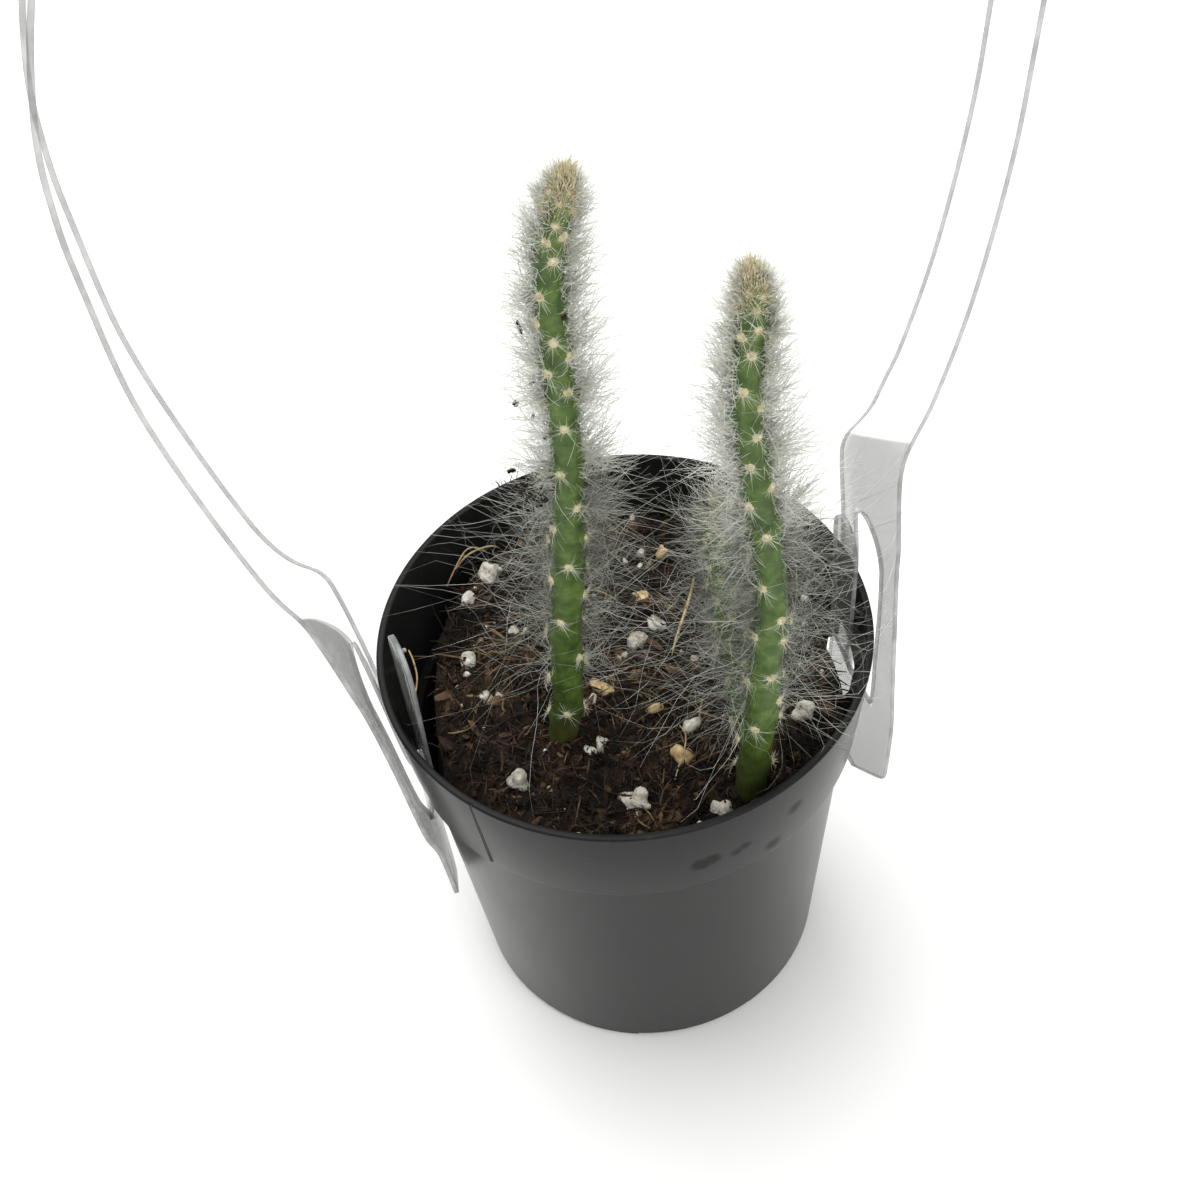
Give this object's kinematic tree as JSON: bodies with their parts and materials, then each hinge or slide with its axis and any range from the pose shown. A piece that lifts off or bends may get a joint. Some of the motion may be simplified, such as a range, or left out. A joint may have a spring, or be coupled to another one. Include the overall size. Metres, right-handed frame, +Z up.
{
  "type": "potted cactus",
  "caption": "Young woolly cylindrical cactus, grown as slim upright stems in a thin black nursery pot of peat, with a clear plastic hanging loop clipped to the rim",
  "frame": {"origin": "the middle of the pot's base, on the surface that the pot stands on", "axes": "+Z up through the pot and the loop, +X to the right across the two clips as in the picture, +Y away from the viewer"},
  "size_m": [0.0925, 0.064, 0.2187],
  "materials": {
    "pot_plastic": "thin black polypropylene with a soft sheen",
    "peat": "loose dark peat with perlite and bark",
    "stem_green": "fleshy green skin with a faint waxy sheen",
    "clear_sheet": "clear glossy plastic sheet"
  },
  "bodies": {
    "root": {"nursery_pot": "pot_plastic", "potting_soil": "peat", "stem_left": "stem_green", "stem_right": "stem_green", "clear_hanger": "clear_sheet"}
  },
  "joints": []
}
